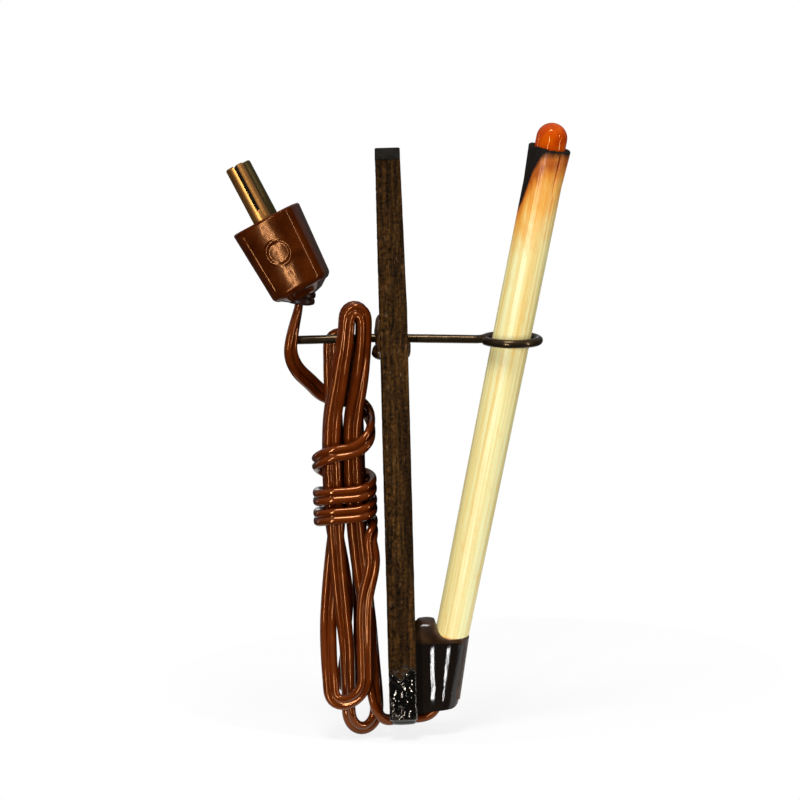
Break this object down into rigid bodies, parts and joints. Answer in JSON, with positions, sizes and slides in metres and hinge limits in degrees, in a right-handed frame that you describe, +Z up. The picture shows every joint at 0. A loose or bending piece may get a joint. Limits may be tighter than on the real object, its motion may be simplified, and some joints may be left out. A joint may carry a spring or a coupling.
{
  "type": "miniature wall torch",
  "caption": "Miniature electric wall torch: a slanted cane rod with a bulb, held by a wire eye on a wooden board, with a stored twin flex and plug.",
  "frame": {"origin": "axis of the wall pin at the board's back face", "axes": "+Z up along the board, +Y into the wall along the wall pin, the rod leans out towards -Y, +X across the board"},
  "size_m": [0.0115, 0.0471, 0.0843],
  "materials": {
    "board": "dark stain, vertical grain, glossy black speckled coat at the lower end",
    "wire": "dark annealed wire, semi-gloss",
    "glue": "amber-brown hot glue, semi-gloss",
    "cane": "straw-yellow cane, glossy, charred at the mouth",
    "wrap": "glossy black",
    "resin": "dark brown resin",
    "bulb": "orange-tinted glass",
    "stem": "clear glass",
    "lead_wire": "nickel wire",
    "bedding": "pale cement",
    "sleeve": "plain",
    "copper": "bare copper",
    "flex": "translucent red-brown, glossy",
    "plug": "dark red-brown, glossy",
    "carrier": "plain moulding",
    "pin": "bright brass"
  },
  "bodies": {
    "root": {"wall_board": "board", "bracket_wire": "wire", "rear_glue_bead": "glue", "front_glue_bead": "resin", "torch_rod": "cane", "foot_wrap": "wrap", "foot_resin": "resin", "bulb_envelope": "bulb", "bulb_stem": "stem", "bulb_wires": "lead_wire", "bulb_filament": "lead_wire", "bulb_bedding": "bedding", "splice_sleeves": "sleeve", "core_wires": "copper", "flex_riser": "flex", "end_glue": "wrap", "flex_tail": "flex", "flex_hank": "flex", "flex_lead": "flex", "plug_body": "plug", "plug_grommet": "plug", "plug_carrier": "carrier", "plug_pin_a": "pin", "plug_pin_b": "pin", "plug_flex_end": "flex"}
  },
  "joints": []
}
